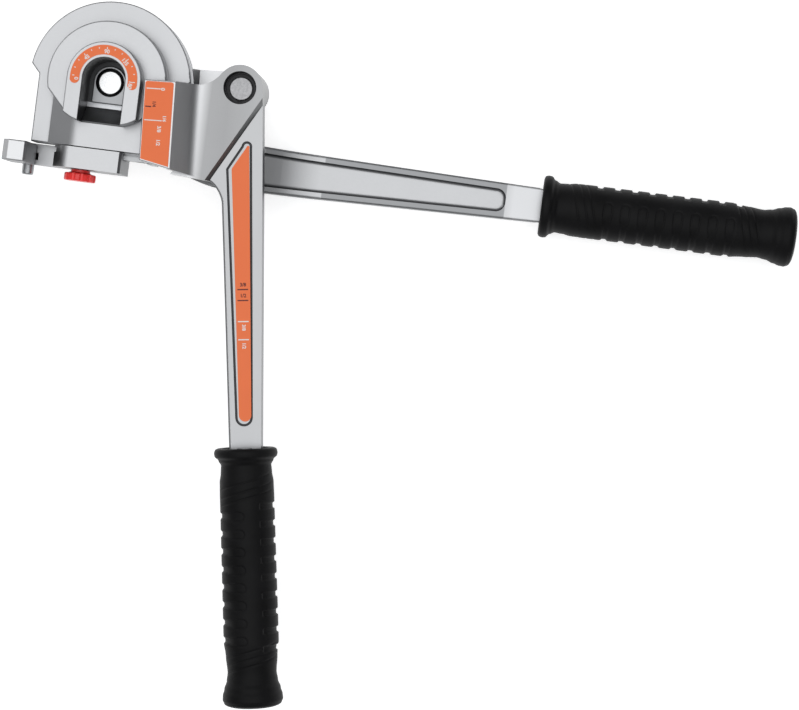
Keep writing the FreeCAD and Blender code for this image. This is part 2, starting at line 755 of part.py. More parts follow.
def shoe_label():
    left = SHOE_BLOCK[0] + 0.9
    right = SHOE_BLOCK[1] - 0.9
    top = SHOE_TOP - 0.9
    low_left = SHOE_LOW[0] + 0.9
    low_right = SHOE_LOW[1] + 1.1
    corner = 1.4
    near = corner * (1 - math.sqrt(0.5))
    shape = outline((left, low_left), [
        (right, low_right), (right, top - corner), ((right - near, top - near), (right - corner, top)),
        (left + corner, top), ((left + near, top - near), (left, top - corner))])
    return placed(prism(shape, SHOE_FACE, SHOE_FACE + LABEL_THICK), shoe_frame())


def shoe_screws():
    screws = []
    for screw, (x, y) in zip(shoe_screw_solids(), screw_spots()):
        socket = hex_socket(x, y, BAR_Z[0] - 1, BAR_Z[0] + 1.8, 3.0)
        screws.append(placed(screw.cut(socket), handle_frame()))
    return Part.makeCompound(screws)


# ---------------------------------------------------------------- hook
def rail_screw_solids():
    screws = []
    for x in (-19.0, 3.0, 25.0):
        cone = Part.makeCone(4.4, 2.5, 2.6, Vector(x, RAIL_Y[2], SCREW_Z), Vector(0, 1, 0))
        screws.append(joined([cone, across(2.5, RAIL_Y[2] + 2.5, -36.5, x, SCREW_Z)]))
    return screws


def hook_rail():
    neck = box(RAIL_X, (RAIL_Y[1] - 0.5, RAIL_Y[0]), RAIL_NECK_Z)
    head = box(RAIL_X, (RAIL_Y[2], RAIL_Y[1]), RAIL_HEAD_Z)
    stop = box((29.5, RAIL_X[1]), (RAIL_Y[2] - 1.0, RAIL_Y[0]), (3.0, 23.0))
    stop = soften(stop, 1.0, lambda edge: edge.BoundBox.XLength > 4)
    return joined([neck, head, stop]).cut(rail_screw_solids())


def rail_screws():
    screws = []
    for screw in rail_screw_solids():
        socket = across(1.5, RAIL_Y[2], RAIL_Y[2] + 2, screw.BoundBox.Center.x, SCREW_Z)
        screws.append(screw.cut(socket))
    return Part.makeCompound(screws)


def carriage_outline():
    left, right = CARRIAGE_X
    low, high = CARRIAGE_Z
    return [(right, low), (right, high - 1.5), (right - 1.5, high), (-18.6, high),
            ((-22.2, 27.9), (-24.8, 25.2)), (left, 17.5), (left, CHANNEL_FLOOR),
            (JAW_PIVOT_X, CHANNEL_FLOOR), (JAW_PIVOT_X, low)]


def hook_carriage():
    body = side_prism(carriage_outline(), CARRIAGE_Y[1], CARRIAGE_Y[0])
    knuckle = across(KNUCKLE_R, CARRIAGE_Y[1], CARRIAGE_Y[0], JAW_PIVOT_X, 0)
    body = joined([body, knuckle])
    neck_z = (RAIL_NECK_Z[0] - RAIL_PLAY, RAIL_NECK_Z[1] + RAIL_PLAY)
    head_z = (RAIL_HEAD_Z[0] - RAIL_PLAY, RAIL_HEAD_Z[1] + RAIL_PLAY)
    slot_neck = box((-60, 60), (RAIL_Y[1] - 0.2, -40), neck_z)
    slot_head = box((-60, 60), (RAIL_Y[2] - RAIL_PLAY, RAIL_Y[1] + RAIL_PLAY), head_z)
    ear_gap = box((-70, -41), (EAR_Y[1], EAR_Y[0]), (-10, 10))
    pad_bore = across(PAD_R + 0.06, SCREW_TIP_Y - 2.4, RAIL_Y[2], SCREW_X, SCREW_Z)
    screw_bore = across(SCREW_R + RUNNING_FIT, -60, RAIL_Y[2], SCREW_X, SCREW_Z)
    return body.cut([slot_neck, slot_head, ear_gap, pad_bore, screw_bore, hinge_pin()])


def hinge_pin():
    pin = across(JAW_PIN_R, PIN_END_Y, CARRIAGE_Y[0], JAW_PIVOT_X, 0)
    return pin.makeFillet(1.2, [edge for edge in pin.Edges if abs(edge.BoundBox.Center.y - PIN_END_Y) < 0.01])


def hook_jaw():
    left, right = JAW_X
    nose = side_prism([(right, JAW_SEAT), (right, JAW_TOP - 1), (right - 1, JAW_TOP), (left + 3.9, JAW_TOP),
                       (left, JAW_TOP - 4.2), (left, JAW_SEAT)], JAW_Y[1], JAW_Y[0])
    nose = soften(nose, 1.0, lambda edge: edge.BoundBox.YLength < 1e-4 and edge.BoundBox.ZMin > JAW_SEAT + 1)
    ear_play = 0.15
    web_x = (JAW_PIVOT_X - 4.8, JAW_PIVOT_X + 4.8)
    web = side_prism([(web_x[1], 0), (web_x[1], JAW_SEAT + 1), (web_x[0], JAW_SEAT + 1), (web_x[0], 0)],
                     EAR_Y[1] + ear_play, EAR_Y[0] - ear_play)
    barrel = across(5.7, EAR_Y[1] + ear_play, EAR_Y[0] - ear_play, JAW_PIVOT_X, 0)
    bore = across(JAW_PIN_R + RUNNING_FIT, -70, -30, JAW_PIVOT_X, 0)
    return joined([nose, web, barrel]).cut(bore)


def pressure_pad():
    return across(PAD_R, SCREW_TIP_Y + 0.05, RAIL_Y[2] - 0.02, SCREW_X, SCREW_Z)


def lock_screw():
    return across(SCREW_R, KNOB_Y[2] + 2.0, SCREW_TIP_Y, SCREW_X, SCREW_Z)


def lock_knob():
    near, collar, end = KNOB_Y
    neck = across(KNOB_NECK_R, collar, near, SCREW_X, SCREW_Z)
    flare_top = Vector(SCREW_X, collar + 0.8, SCREW_Z)
    flare = Part.makeCone(KNOB_NECK_R, KNOB_R - 0.8, 1.4, flare_top, Vector(0, -1, 0))
    disc = across(KNOB_R, end, collar, SCREW_X, SCREW_Z)
    disc = disc.makeFillet(1.0, [edge for edge in disc.Edges if edge.BoundBox.YLength < 1e-4])
    shape = joined([neck, flare, disc])
    for index in range(KNOB_LOBES):
        angle = 2 * math.pi * (index + 0.5) / KNOB_LOBES
        x = SCREW_X + (KNOB_R + 0.9) * math.cos(angle)
        z = SCREW_Z + (KNOB_R + 0.9) * math.sin(angle)
        shape = shape.cut(across(1.7, end - 1, collar + 1.2, x, z))
    return shape.cut(lock_screw())


NODES = {
    "former": former, "former_step": former_step, "former_land": former_land, "handle_web": handle_web,
    "degree_label": degree_label, "pivot_pin": pivot_pin, "pivot_washer": pivot_washer,
    "pivot_ring": pivot_ring, "fixed_handle": fixed_handle, "handle_bolts": handle_bolts,
    "fixed_grip": fixed_grip, "link_arm": link_arm, "pivot_bush": pivot_bush, "handle_pin": handle_pin,
    "handle_washer": handle_washer, "handle_circlip": handle_circlip, "forming_handle": forming_handle,
    "forming_grip": forming_grip, "handle_label": handle_label, "bending_shoe": bending_shoe,
    "shoe_arm": shoe_arm, "shoe_boss": shoe_boss, "handle_bush": handle_bush, "shoe_label": shoe_label,
    "shoe_screws": shoe_screws, "hook_rail": hook_rail, "rail_screws": rail_screws,
    "hook_carriage": hook_carriage, "hinge_pin": hinge_pin, "hook_jaw": hook_jaw,
    "pressure_pad": pressure_pad, "lock_screw": lock_screw, "lock_knob": lock_knob,
}

os.makedirs("parts", exist_ok=True)
for name, make in NODES.items():
    solid = make()
    solid.exportStep("parts/" + name + ".step")
    print(name, len(solid.Solids), "solid(s), volume", round(solid.Volume), "valid", solid.isValid())
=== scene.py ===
import bmesh
import bpy
import json
import math
from mathutils import Matrix, Vector


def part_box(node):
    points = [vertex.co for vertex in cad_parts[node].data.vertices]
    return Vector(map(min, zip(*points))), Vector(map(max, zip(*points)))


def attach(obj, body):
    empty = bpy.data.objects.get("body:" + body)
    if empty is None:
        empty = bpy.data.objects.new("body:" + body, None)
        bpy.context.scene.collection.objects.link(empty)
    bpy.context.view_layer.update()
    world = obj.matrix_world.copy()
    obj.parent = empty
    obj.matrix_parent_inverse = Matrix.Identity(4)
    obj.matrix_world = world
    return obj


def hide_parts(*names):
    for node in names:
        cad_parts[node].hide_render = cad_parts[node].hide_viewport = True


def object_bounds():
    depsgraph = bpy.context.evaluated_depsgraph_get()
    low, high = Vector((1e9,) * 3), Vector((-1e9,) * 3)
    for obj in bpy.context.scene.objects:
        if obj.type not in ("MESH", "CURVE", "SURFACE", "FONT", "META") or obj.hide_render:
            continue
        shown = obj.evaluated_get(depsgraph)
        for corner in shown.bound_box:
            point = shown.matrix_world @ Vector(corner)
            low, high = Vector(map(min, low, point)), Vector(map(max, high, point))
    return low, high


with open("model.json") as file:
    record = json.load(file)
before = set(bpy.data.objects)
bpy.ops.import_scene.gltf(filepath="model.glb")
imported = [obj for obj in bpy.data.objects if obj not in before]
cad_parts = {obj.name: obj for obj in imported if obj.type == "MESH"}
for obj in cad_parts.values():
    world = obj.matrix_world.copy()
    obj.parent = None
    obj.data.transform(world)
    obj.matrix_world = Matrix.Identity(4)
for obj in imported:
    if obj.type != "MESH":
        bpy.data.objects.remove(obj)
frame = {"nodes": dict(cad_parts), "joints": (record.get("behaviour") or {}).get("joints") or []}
CAD_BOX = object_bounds()
NODES = frame["nodes"]
JOINTS = {joint["name"]: joint for joint in frame["joints"]}

MM = 0.001

# ---- the forming handle's own axes, and the shoe's ----
HANDLE_TURN = 8.3
SHOE_TURN = 3.2
BOSS = Vector(JOINTS["handle_pivot"]["pos_m"])
HANDLE = Matrix.Translation(BOSS) @ Matrix.Rotation(math.radians(HANDLE_TURN), 4, "Z")
SHOE = Matrix.Rotation(math.radians(SHOE_TURN), 4, "Z")

# ---- camera ----
CAMERA_AT = Vector((0.2587, -0.1145, 1.5555))
CAMERA_AIM = Vector((0.1979, -0.1441, 0.0))
CAMERA_ROLL = 7.33
CAMERA_LENS = 112.7

# ---- floor, m ----
FLOOR_HALF = 4.0
FLOOR_GLOW = 0.62

# ---- colours ----
ORANGE = (1.0, 0.205, 0.057)
LABEL_WHITE = (0.80, 0.80, 0.79)
PRINT_WHITE = (0.90, 0.88, 0.85)
PRINT_DARK = (0.10, 0.012, 0.010)

# ---- grip surface, mm ----
GRIP_START = (-1.3, -220.3)
GRIP_LEAN = 0.64
GRIP_PROFILE = [(0.0, 17.4), (0.6, 18.7), (1.6, 19.35), (3.2, 19.55), (4.8, 19.3), (7.3, 17.0), (10.5, 15.5),
                (15.0, 15.8), (21.0, 16.6), (30.0, 16.75), (118.0, 17.0), (128.0, 15.9), (138.0, 15.1),
                (143.0, 15.8), (148.0, 17.4), (152.0, 18.45), (154.5, 18.65), (157.0, 17.8), (158.4, 16.2),
                (159.0, 13.4)]
GRIP_INSIDE = [(11.0, 8.3), (9.0, 8.6), (8.6, 12.9), (2.2, 13.3), (0.7, 13.8), (0.1, 14.9)]
GRIP_ROUND = 192
GRIP_STEP = 0.45
PLAIN_STEP = 0.6
PATTERN_FROM = 13
PATTERN_TO = 140
END_RINGS = (0.8, 0.45)
FINGER_PITCH = 10.9
FINGER_COUNT = 8
FINGER_FIRST = 41.4
FINGER_HALF = 2.6
FINGER_EDGE = 0.55
NOTCH_DEPTH = 1.15
SPIRAL_DEPTH = 0.5
SPIRAL_SLANT = 0.24
SPIRALS = (20.5, 26.0, 30.5, 124.0, 128.5, 133.0)
PATTERN_RADIUS = 17.0
FIXED_GRIP_ROLL = 26

# ---- castings: base tones, and painted shade tones by place in mm ----
PALE = (0.47, 0.475, 0.485)
# painted light: a lighter copy of the casting tone, for the shoe, the link arm and the hook jaw
BRIGHT_LIT_COPY = (0.60, 0.605, 0.615)
BAR_FLAT = (0.40, 0.404, 0.412)
# painted shade: the darker tones that walls take, by how they face the light
WALL_SHADE = (0.17, 0.174, 0.182)
SHOE_WALL_SHADE = (0.44, 0.444, 0.45)
# painted shade: tones for the well, the pin's bore, the label groove and the web floor, where shade falls
WELL_SIDES_SHADE = ({"X": (-13.1, 13.1), "Y": (-26.9, 13.1), "Z": (5, 43.6)}, 0.08)
WELL_RAMP_SHADE = ({"X": (-12.9, 12.9), "Y": (-25.7, -13.2), "Z": (5, 31)}, 0.52)
WELL_PAD_SHADE = ({"X": (-10.1, 10.1), "Y": (-13.1, 10.1), "Z": (18.7, 19.6)}, 0.31)
PIN_BORE_SHADE = ({"X": (-9.4, 9.4), "Y": (-9.4, 9.4), "Z": (11, 16.4)}, 0.03)
LABEL_GROOVE_SHADE = ({"Z": (28.4, 29.4)}, 0.06)
WEB_FLOOR_SHADE = ({"X": (136, 251), "Z": (-11.4, -9)}, 0.26)
# painted shade along X: the shoe darker past its lit end, the fixed handle darker towards its root
SHOE_SHADE_ALONG = [(40, 1.0), (57, 1.0), (65, 0.50), (76, 0.47), (94, 0.54)]
HANDLE_SHADE_ALONG = [(60, 0.36), (104, 0.5), (134, 0.92), (250, 0.92), (256, 1.1)]

# ---- labels, mm ----
DEGREE_BORDER = 0.7
LONG_BORDER = 0.75
FILM_GAP = 0.05 * MM
TICK_EVERY = 15
TICK_END = 19.3
LONG_TICK = 1.3
SHORT_TICK = 0.9
TICK_HALF = 0.26
# angle, and how far its numeral is turned away from it
DEGREE_NUMERALS = ((0, -6), (45, 0), (90, 0), (135, 0), (180, 6))
DIGIT_RADIUS = 16.55
DEGREE_DIGIT = 3.3
DIGIT_WEIGHT = 0.03
HANDLE_DIGIT = 3.0
HANDLE_LINE_FROM = -4.0
HANDLE_LINE_TO = 2.6
HANDLE_LINE_HALF = 0.35
SHOE_LINE_START = 0.9
# length, lower edge and upper edge of each line
SHOE_WHITE_LINES = ((8.6, -4.2, -3.6), (10.6, -23.4, -22.8))
SHOE_DARK_LINES = ((3.6, -15.25, -14.55),)
# numeral, x, y and height
SHOE_WHITE_NUMERALS = (("0", 36.6, -4.0, 3.4), ("1/4", 38.7, -21.6, 3.0), ("3/8", 35.9, -28.2, 3.1),
                       ("1/2", 35.9, -36.3, 3.1))
SHOE_DARK_NUMERALS = (("1/4", 31.9, -13.2, 2.9),)
# y of the line, numeral, how far the numeral is moved, and whether it is turned a quarter
HANDLE_DARK_LINES = ((-123.1, "3/8", 3.6, False), (-129.8, "1/2", 3.6, False))
HANDLE_WHITE_LINES = ((-142.7, "3/8", -4.6, True), (-153.8, "1/2", -4.6, True))


# ------------------------------------------------------------------ node helpers
def new_material(name):
    material = bpy.data.materials.new(name)
    material.use_nodes = True
    tree = material.node_tree
    return material, tree, tree.nodes["Principled BSDF"]


def add(tree, kind, **settings):
    node = tree.nodes.new(kind)
    for key, value in settings.items():
        setattr(node, key, value)
    return node


def ramp(tree, factor, stops):
    node = add(tree, "ShaderNodeValToRGB")
    first, last = node.color_ramp.elements
    first.position, first.color = stops[0][0], (*stops[0][1], 1)
    last.position, last.color = stops[-1][0], (*stops[-1][1], 1)
    for position, colour in stops[1:-1]:
        node.color_ramp.elements.new(position).color = (*colour, 1)
    tree.links.new(factor, node.inputs["Fac"])
    return node.outputs["Color"]


def noise(tree, scale, detail=3.0, stretch=(1, 1, 1)):
    """Noise in the object's own metres; stretch below 1 draws it out along that axis."""
    place = add(tree, "ShaderNodeTexCoord")
    mapping = add(tree, "ShaderNodeMapping")
    mapping.inputs["Scale"].default_value = stretch
    texture = add(tree, "ShaderNodeTexNoise")
    texture.inputs["Scale"].default_value = scale
    texture.inputs["Detail"].default_value = detail
    tree.links.new(place.outputs["Object"], mapping.inputs["Vector"])
    tree.links.new(mapping.outputs["Vector"], texture.inputs["Vector"])
    return texture.outputs["Fac"]


def math_node(tree, operation, first, second=None):
    node = add(tree, "ShaderNodeMath", operation=operation)
    for socket, value in zip(node.inputs, (first, second)):
        if value is None:
            continue
        if isinstance(value, (int, float)):
            socket.default_value = value
        else:
            tree.links.new(value, socket)
    return node.outputs["Value"]


def spread(tree, factor, low, high):
    node = add(tree, "ShaderNodeMapRange")
    node.inputs["To Min"].default_value = low
    node.inputs["To Max"].default_value = high
    tree.links.new(factor, node.inputs["Value"])
    return node.outputs["Result"]


def mix(tree, factor, first, second, blend="MIX"):
    node = add(tree, "ShaderNodeMix", data_type="RGBA", blend_type=blend)
    for socket, value in ((node.inputs[0], factor), (node.inputs[6], first), (node.inputs[7], second)):
        if isinstance(value, (int, float)):
            socket.default_value = value
        elif isinstance(value, tuple):
            socket.default_value = (*value, 1)
        else:
            tree.links.new(value, socket)
    return node.outputs[2]


def bump(tree, shader, height, strength, distance):
    node = add(tree, "ShaderNodeBump")
    node.inputs["Strength"].default_value = strength
    node.inputs["Distance"].default_value = distance
    tree.links.new(height, node.inputs["Height"])
    tree.links.new(node.outputs["Normal"], shader.inputs["Normal"])


def facing_up(tree):
    """Share of painted light by facing: 0 on walls, which take the painted wall shade, 1 on faces square to
    the pivot axis.
    """
    place = add(tree, "ShaderNodeTexCoord")
    parts = add(tree, "ShaderNodeSeparateXYZ")
    tree.links.new(place.outputs["Normal"], parts.inputs["Vector"])
    upright = math_node(tree, "ABSOLUTE", parts.outputs["Z"])
    node = add(tree, "ShaderNodeMapRange", interpolation_type="SMOOTHSTEP")
    node.inputs["From Min"].default_value = 0.35
    node.inputs["From Max"].default_value = 0.99
    tree.links.new(upright, node.inputs["Value"])
    return node.outputs["Result"]


# ------------------------------------------------------------------ materials
def position(tree):
    """The point's X, Y and Z in the object's own metres."""
    place = add(tree, "ShaderNodeTexCoord")
    parts = add(tree, "ShaderNodeSeparateXYZ")
    tree.links.new(place.outputs["Object"], parts.inputs["Vector"])
    return parts.outputs


def within(tree, spans):
    """1 where the object's X, Y or Z lies in every given span of millimetres, 0 outside."""
    spot = position(tree)
    inside = None
    for axis, (low, high) in spans.items():
        above = math_node(tree, "GREATER_THAN", spot[axis], low * MM)
        below = math_node(tree, "LESS_THAN", spot[axis], high * MM)
        here = math_node(tree, "MULTIPLY", above, below)
        inside = here if inside is None else math_node(tree, "MULTIPLY", inside, here)
    return inside


def along_x(tree, stops):
    """Painted shade as a grey that changes along X, from pairs of millimetres and value."""
    low, high = stops[0][0] * MM, stops[-1][0] * MM
    node = add(tree, "ShaderNodeMapRange")
    node.inputs["From Min"].default_value = low
    node.inputs["From Max"].default_value = high
    tree.links.new(position(tree)["X"], node.inputs["Value"])
    greys = [((at * MM - low) / (high - low), (value, value, value)) for at, value in stops]
    return ramp(tree, node.outputs["Result"], greys)


def crevice(tree, reach):
    """Ambient occlusion for painted shade in corners: 0 deep in a corner, 1 in the open."""
    node = add(tree, "ShaderNodeAmbientOcclusion", samples=8)
    node.inputs["Distance"].default_value = reach
    return node.outputs["AO"]


def cast_aluminium(name, flat, wall_shade, painted_hollow_shades=(), along=None):
    """Bead-blasted casting: pale on the flat faces, painted shade on the walls and in corners, fine grain
    and faint stains.

    painted_hollow_shades are (spans, tone) pairs of painted shade in recesses; along paints shade along the
    piece's X.
    """
    material, tree, shader = new_material(name)
    grain = noise(tree, 2600, 2.0)
    cloud = noise(tree, 34, 3.0)
    pits = noise(tree, 700, 4.0)
    flat_tone = mix(tree, spread(tree, cloud, 0.0, 1.0), flat, tuple(0.93 * part for part in flat))
    flat_tone = mix(tree, spread(tree, grain, 0.0, 0.22), flat_tone, tuple(0.80 * part for part in flat))
    # painted shade on the walls and painted light on faces square to the axis, chosen by facing
    colour = mix(tree, facing_up(tree), wall_shade, flat_tone)
    # painted shade in the listed recesses
    for spans, tone in painted_hollow_shades:
        colour = mix(tree, within(tree, spans), colour, (tone, 1.02 * tone, 1.05 * tone))
    # painted shade along X
    if along:
        colour = mix(tree, 1.0, colour, along_x(tree, along), "MULTIPLY")
    # painted shade in corners, from ambient occlusion
    shade = ramp(tree, crevice(tree, 0.006), [(0.15, (0.30, 0.30, 0.31)), (0.75, (1, 1, 1))])
    colour = mix(tree, 1.0, colour, shade, "MULTIPLY")
    tree.links.new(colour, shader.inputs["Base Color"])
    tree.links.new(spread(tree, grain, 0.30, 0.46), shader.inputs["Roughness"])
    shader.inputs["Metallic"].default_value = 1.0
    height = mix(tree, 0.4, grain, pits)
    bump(tree, shader, height, 0.16, 0.00006)
    return material


def turned_steel(name, tone, rough, centre=None, mottle=0.72):
    """Turned or ground steel; centre draws the rings of a faced end about that point."""
    material, tree, shader = new_material(name)
    if centre is None:
        lines = noise(tree, 1800, 2.0, (1, 0.06, 1))
    else:
        place = add(tree, "ShaderNodeTexCoord")
        mapping = add(tree, "ShaderNodeMapping")
        mapping.inputs["Location"].default_value = (-centre[0], -centre[1], 0)
        rings = add(tree, "ShaderNodeTexWave", wave_type="RINGS", rings_direction="Z")
        rings.inputs["Scale"].default_value = 420
        rings.inputs["Distortion"].default_value = 1.5
        tree.links.new(place.outputs["Object"], mapping.inputs["Vector"])
        tree.links.new(mapping.outputs["Vector"], rings.inputs["Vector"])
        lines = rings.outputs["Fac"]
    specks = noise(tree, 1500 if mottle > 0.5 else 800, 3.0)
    dark = tuple(mottle * part for part in tone)
    tree.links.new(mix(tree, spread(tree, specks, 0.0, 0.8), tone, dark), shader.inputs["Base Color"])
    tree.links.new(spread(tree, lines, rough * 0.8, rough * 1.3), shader.inputs["Roughness"])
    shader.inputs["Metallic"].default_value = 1.0
    bump(tree, shader, lines, 0.12, 0.00004)
    return material


def blackened(name):
    material, tree, shader = new_material(name)
    wear = noise(tree, 900, 3.0)
    tree.links.new(ramp(tree, wear, [(0.35, (0.012, 0.012, 0.014)), (0.75, (0.035, 0.035, 0.038))]),
                   shader.inputs["Base Color"])
    tree.links.new(spread(tree, wear, 0.35, 0.6), shader.inputs["Roughness"])
    shader.inputs["Metallic"].default_value = 0.4
    bump(tree, shader, wear, 0.1, 0.00003)
    return material


def bronze(name):
    material, tree, shader = new_material(name)
    grain = noise(tree, 1600, 3.0)
    tree.links.new(ramp(tree, grain, [(0.3, (0.42, 0.26, 0.11)), (0.7, (0.62, 0.42, 0.20))]),
                   shader.inputs["Base Color"])
    tree.links.new(spread(tree, grain, 0.28, 0.45), shader.inputs["Roughness"])
    shader.inputs["Metallic"].default_value = 1.0
    return material


def black_rubber(name):
    material, tree, shader = new_material(name)
    fine = noise(tree, 2400, 2.0)
    smear = noise(tree, 60, 3.0)
    tree.links.new(ramp(tree, smear, [(0.3, (0.0065, 0.0065, 0.0068)), (0.75, (0.0105, 0.0105, 0.011))]),
                   shader.inputs["Base Color"])
    tree.links.new(spread(tree, fine, 0.40, 0.55), shader.inputs["Roughness"])
    shader.inputs["Specular IOR Level"].default_value = 0.08
    bump(tree, shader, fine, 0.10, 0.00005)
    return material


def printed_film(name, colour, rough=0.42):
    material, tree, shader = new_material(name)
    grain = noise(tree, 1200, 2.0)
    cloud = noise(tree, 90, 2.0)
    soft = mix(tree, spread(tree, cloud, 0.0, 0.5), colour, tuple(0.90 * part for part in colour))
    tree.links.new(soft, shader.inputs["Base Color"])
    tree.links.new(spread(tree, grain, rough * 0.85, rough * 1.2), shader.inputs["Roughness"])
    shader.inputs["Specular IOR Level"].default_value = 0.35
    bump(tree, shader, grain, 0.04, 0.00002)
    return material


def red_plastic(name):
    material, tree, shader = new_material(name)
    flow = noise(tree, 220, 2.0)
    tree.links.new(ramp(tree, flow, [(0.3, (0.92, 0.030, 0.028)), (0.7, (1.0, 0.050, 0.045))]),
                   shader.inputs["Base Color"])
    tree.links.new(spread(tree, flow, 0.28, 0.38), shader.inputs["Roughness"])
    bump(tree, shader, flow, 0.05, 0.00005)
    return material


def dress_cad(materials):
    """Gives every carried-over CAD node its finish."""
    for material, names in materials:
        for name in names:
            slots = NODES[name].data.materials
            for index in range(len(slots)):
                slots[index] = material
            if not len(slots):
                slots.append(material)


# ------------------------------------------------------------------ mesh helpers
def local_box(node, place):
    """Lowest and highest corner of a CAD node in another frame."""
    back = place.inverted()
    points = [back @ vertex.co for vertex in NODES[node].data.vertices]
    low = Vector([min(point[axis] for point in points) for axis in range(3)])
    high = Vector([max(point[axis] for point in points) for axis in range(3)])
    return low, high


def piece_from(name, mesh, material, body, smooth=False):
    mesh.materials.clear()
    mesh.materials.append(material)
    for polygon in mesh.polygons:
        polygon.use_smooth = smooth
    piece = bpy.data.objects.new(name, mesh)
    bpy.context.scene.collection.objects.link(piece)
    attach(piece, body)
    return piece


def mesh_from(bm, name):
    bmesh.ops.recalc_face_normals(bm, faces=bm.faces)
    mesh = bpy.data.meshes.new(name)
    bm.to_mesh(mesh)
    bm.free()
    return mesh


def top_face(node):
    """The outline of a flat CAD film as one face, in a new bmesh."""
    bm = bmesh.new()
    bm.from_mesh(NODES[node].data)
    bmesh.ops.remove_doubles(bm, verts=bm.verts, dist=1e-6)
    walls = [face for face in bm.faces if face.normal.z < 0.9]
    bmesh.ops.delete(bm, geom=walls, context="FACES")
    bmesh.ops.dissolve_faces(bm, faces=bm.faces[:])
    return bm


def set_level(bm, level):
    for vertex in bm.verts:
        vertex.co.z = level


def thicken(bm, low):
    result = bmesh.ops.extrude_face_region(bm, geom=bm.faces[:])
    for item in result["geom"]:
        if isinstance(item, bmesh.types.BMVert):
            item.co.z = low


def add_bar(bm, place, x_span, y_span, z_span):
    """A thin printed bar."""
    corners = [place @ Vector((x, y, z)) for z in z_span for y in y_span for x in x_span]
    verts = [bm.verts.new(corner) for corner in corners]
    for quad in ((0, 1, 3, 2), (4, 6, 7, 5), (0, 4, 5, 1), (2, 3, 7, 6), (0, 2, 6, 4), (1, 5, 7, 3)):
        bm.faces.new([verts[index] for index in quad])


def add_digits(bm, text, size, place, thick):
    """Plain numerals, centred on place, standing thick above it."""
    curve = bpy.data.curves.new("digits", "FONT")
    curve.body = text
    curve.size = size
    curve.align_x = "CENTER"
    curve.align_y = "CENTER"
    curve.extrude = thick / 2
    curve.offset = DIGIT_WEIGHT * size
    curve.resolution_u = 3
    holder = bpy.data.objects.new("digits", curve)
    mesh = bpy.data.meshes.new_from_object(holder)
    mesh.transform(place @ Matrix.Translation((0, 0, thick / 2)))
    bm.from_mesh(mesh)
    bpy.data.objects.remove(holder)
    bpy.data.meshes.remove(mesh)


# ------------------------------------------------------------------ labels
def label_films(node, body, margin, border, colour):
    """Replaces a CAD film with a pale border film and a coloured print inside it."""
    low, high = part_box(node)
    print_top = high.z - FILM_GAP
    border_top = high.z - 2 * FILM_GAP
    bm = top_face(node)
    set_level(bm, border_top)
    thicken(bm, low.z)
    edge_film = piece_from(node + "_border", mesh_from(bm, node), border, body)
    bm = top_face(node)
    inner = bm.faces[:]
    bmesh.ops.inset_region(bm, faces=inner, thickness=margin, use_even_offset=True)
    rim = [face for face in bm.faces if face not in inner]
    bmesh.ops.delete(bm, geom=rim, context="FACES")
    set_level(bm, print_top)
    thicken(bm, border_top)
    print_film = piece_from(node + "_print", mesh_from(bm, node), colour, body)
    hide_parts(node)
    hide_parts(node)
    return print_top


def degree_marks(level, white):
    """Ticks every 15 degrees and the angles 0 to 180, clockwise from the left."""
    bm = bmesh.new()
    for step in range(180 // TICK_EVERY + 1):
        angle = math.radians(180 - TICK_EVERY * step)
        place = Matrix.Rotation(angle, 4, "Z")
        length = LONG_TICK if step % 3 == 0 else SHORT_TICK
        add_bar(bm, place, ((TICK_END - length) * MM, TICK_END * MM), (-TICK_HALF * MM, TICK_HALF * MM),
                (level, level + FILM_GAP))
    down = Matrix.Rotation(-math.pi / 2, 4, "Z")
    for degrees, shift in DEGREE_NUMERALS:
        angle = math.radians(180 - degrees - shift)
        spot = Matrix.Rotation(angle, 4, "Z") @ Matrix.Translation((DIGIT_RADIUS * MM, 0, level))
        add_digits(bm, str(degrees), DEGREE_DIGIT * MM, spot @ down, FILM_GAP)
    piece_from("degree_marks", mesh_from(bm, "degree_marks"), white, "frame")


def shoe_marks(level, white, dark):
    """Size lines from the left edge of the shoe's label, and their numerals."""
    left = local_box("shoe_label", SHOE)[0].x + SHOE_LINE_START * MM
    span = (level, level + FILM_GAP)
    down = Matrix.Rotation(-math.pi / 2, 4, "Z")
    for name, ink, lines, numerals in (("shoe_marks", white, SHOE_WHITE_LINES, SHOE_WHITE_NUMERALS),
                                       ("shoe_tick", dark, SHOE_DARK_LINES, SHOE_DARK_NUMERALS)):
        bm = bmesh.new()
        for length, low, high in lines:
            add_bar(bm, SHOE, (left, left + length * MM), (low * MM, high * MM), span)
        for text, x, y, size in numerals:
            spot = SHOE @ Matrix.Translation((x * MM, y * MM, level))
            add_digits(bm, text, size * MM, spot @ down, FILM_GAP)
        piece_from(name, mesh_from(bm, name), ink, "forming_handle")


def handle_marks(level, white, dark):
    """Size lines across the long label: two dark, then two white."""
    down = Matrix.Rotation(-math.pi / 2, 4, "Z")
    span = (level, level + FILM_GAP)
    for name, ink, lines in (("handle_marks_dark", dark, HANDLE_DARK_LINES),
                             ("handle_marks_white", white, HANDLE_WHITE_LINES)):
        bm = bmesh.new()
        for y, text, shift, turned in lines:
            across = (HANDLE_LINE_FROM * MM, HANDLE_LINE_TO * MM)
            along = ((y - HANDLE_LINE_HALF) * MM, (y + HANDLE_LINE_HALF) * MM)
            add_bar(bm, HANDLE, across, along, span)
            spot = HANDLE @ Matrix.Translation((-0.5 * MM, (y + shift * 0.8) * MM, level))
            add_digits(bm, text, HANDLE_DIGIT * MM, spot @ down if turned else spot, FILM_GAP)
        piece_from(name, mesh_from(bm, name), ink, "forming_handle")


# ------------------------------------------------------------------ grips
def eased(points, s):
    """Smooth radius between the profile's points."""
    for (s0, r0), (s1, r1) in zip(points, points[1:]):
        if s <= s1:
            share = (s - s0) / (s1 - s0)
            share = share * share * (3 - 2 * share)
            return r0 + (r1 - r0) * share
    return points[-1][1]


